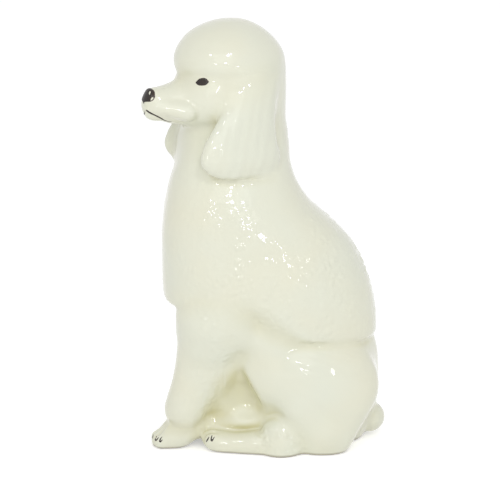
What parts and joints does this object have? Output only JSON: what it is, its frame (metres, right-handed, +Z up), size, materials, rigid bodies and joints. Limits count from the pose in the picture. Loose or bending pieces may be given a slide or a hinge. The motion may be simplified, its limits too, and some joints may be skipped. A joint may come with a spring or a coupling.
{
  "type": "poodle figurine",
  "caption": "Free-standing glazed ceramic ornament of a seated poodle with its head turned to its left and enamel painted eyes, nose, mouth and claws.",
  "frame": {"origin": "centre of the footprint's bounding box, on the surface it stands on", "axes": "+Z up; the chest and front paws face -Y; +X is the dog's left, the side that the head turns to"},
  "size_m": [0.0622, 0.112, 0.1955],
  "materials": {
    "ivory_glaze": "thick clear gloss over an ivory body",
    "brown_black_enamel": "glossy brown-black enamel painted over the glaze"
  },
  "bodies": {
    "root": {"torso": "ivory_glaze", "head": "ivory_glaze", "left_ear": "ivory_glaze", "right_ear": "ivory_glaze", "left_foreleg": "ivory_glaze", "right_foreleg": "ivory_glaze", "left_front_paw": "ivory_glaze", "right_front_paw": "ivory_glaze", "left_haunch": "ivory_glaze", "right_haunch": "ivory_glaze", "left_hind_cuff": "ivory_glaze", "right_hind_cuff": "ivory_glaze", "left_hind_paw": "ivory_glaze", "right_hind_paw": "ivory_glaze", "tail_pompon": "ivory_glaze", "nose": "brown_black_enamel", "left_eye": "brown_black_enamel", "right_eye": "brown_black_enamel", "mouth_line": "brown_black_enamel", "left_front_claws": "brown_black_enamel", "right_front_claws": "brown_black_enamel", "left_hind_claws": "brown_black_enamel", "right_hind_claws": "brown_black_enamel"}
  },
  "joints": []
}
